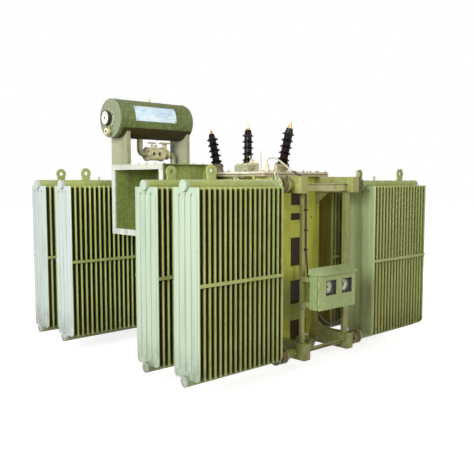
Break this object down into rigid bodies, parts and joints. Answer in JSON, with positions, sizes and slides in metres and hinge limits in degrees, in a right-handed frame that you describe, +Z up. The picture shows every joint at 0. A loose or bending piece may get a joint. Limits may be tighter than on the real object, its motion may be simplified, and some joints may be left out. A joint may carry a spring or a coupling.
{
  "type": "distribution transformer",
  "caption": "Oil-filled distribution transformer with panel radiator banks, conservator drum, open cable box, leaning porcelain bushings and a marshalling box with a hinged door.",
  "frame": {"origin": "on the ground under the middle of the whole object's box", "axes": "+Z up, +X from the low-voltage side to the high-voltage side, +Y from the marshalling-box end to the far end"},
  "size_m": [3.001, 2.744, 2.38],
  "materials": {
    "green_paint": "satin",
    "dark_paint": "satin",
    "gasket_rubber": "matte",
    "brown_porcelain": "glazed",
    "terminal_brass": "satin",
    "window_glass": "gloss",
    "dial_metal": "satin",
    "relay_metal": "satin",
    "valve_iron": "matte",
    "hinge_steel": "satin",
    "tube_rubber": "matte"
  },
  "bodies": {
    "transformer": {"base_skids": "dark_paint", "cable_box": "green_paint", "cable_box_lid": "green_paint", "cable_box_throat": "green_paint", "capillary_tube": "tube_rubber", "conservator_drum": "green_paint", "conservator_fittings": "relay_metal", "conservator_supports": "green_paint", "cover_gasket": "gasket_rubber", "dial_gauges": "dial_metal", "drain_valve": "green_paint", "end_frame_beams": "green_paint", "end_frame_posts": "green_paint", "gas_relay": "relay_metal", "header_boxes": "green_paint", "header_gussets": "green_paint", "hv_bushings": "brown_porcelain", "hv_terminals": "terminal_brass", "hv_turrets": "green_paint", "junction_box": "green_paint", "marshalling_box": "green_paint", "marshalling_box_hinges": "hinge_steel", "marshalling_box_hood": "green_paint", "marshalling_box_rails": "green_paint", "oil_level_gauge": "dial_metal", "radiator_hv_back_inner_fins": "green_paint", "radiator_hv_back_outer_fins": "green_paint", "radiator_hv_front_inner_fins": "green_paint", "radiator_hv_front_outer_fins": "green_paint", "radiator_hv_inner_headers": "green_paint", "radiator_hv_outer_headers": "green_paint", "radiator_lv_back_inner_fins": "green_paint", "radiator_lv_back_outer_fins": "green_paint", "radiator_lv_front_inner_fins": "green_paint", "radiator_lv_front_outer_fins": "green_paint", "radiator_lv_inner_headers": "green_paint", "radiator_lv_outer_headers": "green_paint", "radiator_stubs": "green_paint", "radiator_tie_bars": "green_paint", "radiator_valves": "valve_iron", "relay_handwheel": "relay_metal", "relay_pipes": "green_paint", "relay_valve": "relay_metal", "relief_valve": "green_paint", "tank_body": "green_paint", "tank_cover": "green_paint", "tank_stiffeners": "green_paint", "tap_switch": "green_paint", "thermometer_pockets": "relay_metal"},
    "box_door": {"marshalling_box_door": "green_paint", "door_window_panes": "window_glass"}
  },
  "joints": [
    {"name": "box_door_hinge", "type": "hinge", "parent": "transformer", "child": "box_door", "pos_m": [-0.294, -1.346, 0.684], "axis": [0, 0, -1], "range_deg": [0, 110]}
  ]
}
